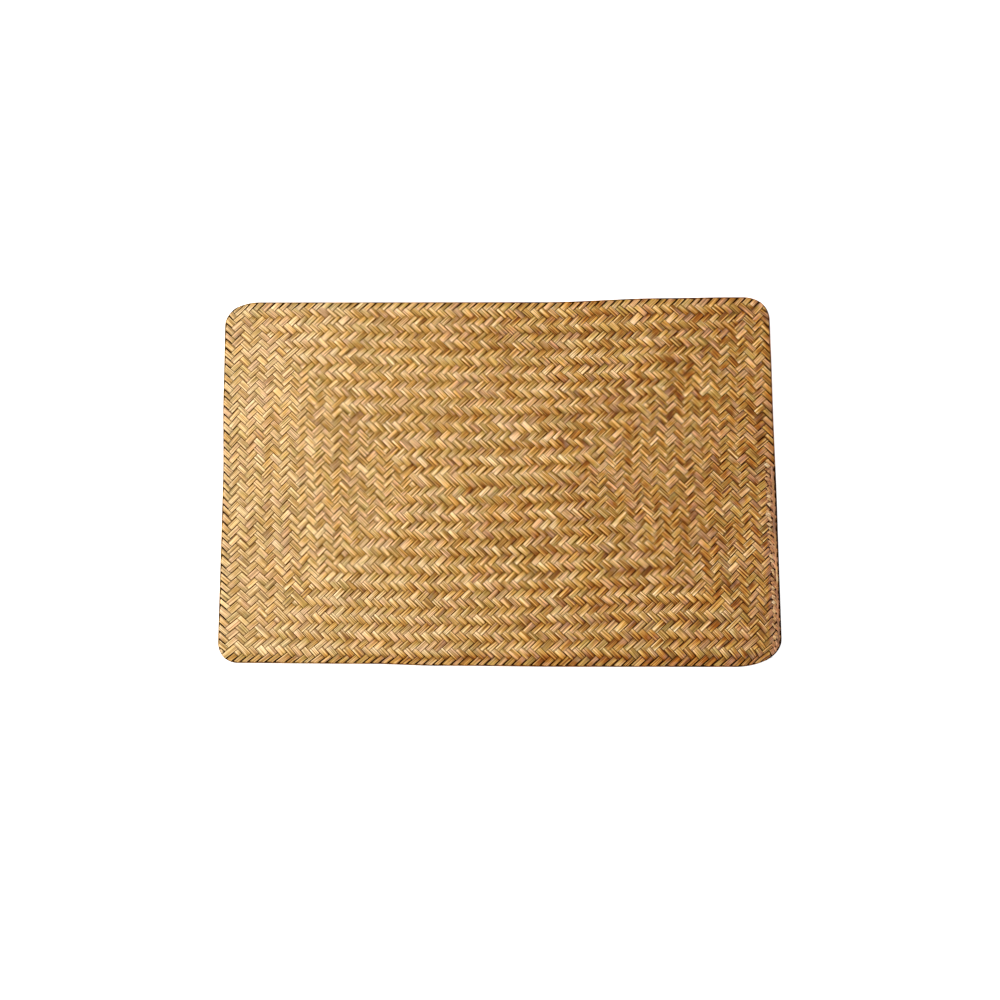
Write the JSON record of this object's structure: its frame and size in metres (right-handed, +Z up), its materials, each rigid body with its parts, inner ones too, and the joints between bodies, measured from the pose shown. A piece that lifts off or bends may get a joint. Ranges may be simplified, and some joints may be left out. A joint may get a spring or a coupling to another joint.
{
  "type": "seagrass placemat",
  "caption": "Flat rectangular placemat plaited from dried seagrass strips in nested rows of diagonal twill, with a folded selvedge and rounded corners.",
  "frame": {"origin": "middle of the flat underside", "axes": "+X along the long sides, +Y across to the upper long edge of the picture, +Z up through the mat"},
  "size_m": [0.4499, 0.3039, 0.003],
  "materials": {
    "seagrass": "dried plaited seagrass, dull with a faint sheen along the fibres"
  },
  "bodies": {
    "root": {"woven_mat": "seagrass"}
  },
  "joints": []
}
